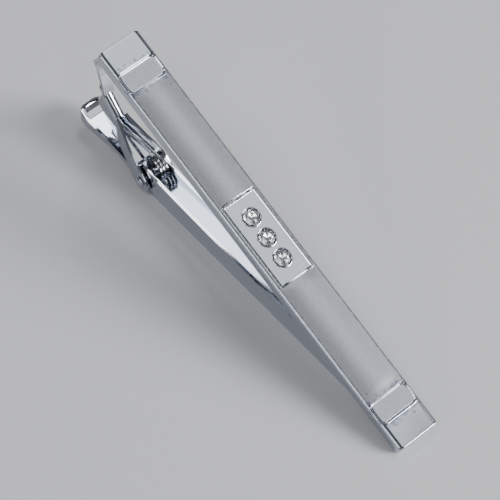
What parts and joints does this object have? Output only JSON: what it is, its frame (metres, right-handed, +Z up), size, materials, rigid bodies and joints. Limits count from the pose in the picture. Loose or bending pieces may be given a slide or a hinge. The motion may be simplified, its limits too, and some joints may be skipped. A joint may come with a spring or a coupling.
{
  "type": "tie clip",
  "caption": "Sprung tie clip: a long domed bar with recessed bands and a sunk panel of round crystals, hinged by a bent arm and torsion spring to a channel-shaped jaw.",
  "frame": {"origin": "on the flat back of the jaw, which the clip lies on, on the clip's centre line and 18 mm towards the gripping tip from the hinge axis", "axes": "+X along the jaw from the hinge to the gripping tip, +Y across the clip, +Z up from the flat back of the jaw towards the front bar"},
  "size_m": [0.0619, 0.0062, 0.021],
  "materials": {
    "satin_metal": "satin rhodium-look plating on brass",
    "polished_metal": "polished plating",
    "spring_steel": "plated spring wire",
    "solder": "dull plated solder",
    "crystal": "clear cut crystal",
    "cement": "cured clear cement"
  },
  "bodies": {
    "jaw": {"jaw": "polished_metal"},
    "bar": {"front_bar": "satin_metal", "crystal_1": "crystal", "crystal_2": "crystal", "crystal_3": "crystal", "crystal_cement_1": "cement", "crystal_cement_2": "cement", "crystal_cement_3": "cement", "solder_joint": "solder", "clip_arm": "polished_metal", "pivot_rivet": "polished_metal", "torsion_spring": "spring_steel"}
  },
  "joints": [
    {"name": "jaw_hinge", "type": "hinge", "parent": "jaw", "child": "bar", "pos_m": [-0.018, 0, 0.0017], "axis": [0, -1, 0], "range_deg": [0, 10], "stiffness_Nm_per_rad": 0.0105, "springref_deg": -91.67, "deforming": ["torsion_spring"]}
  ]
}
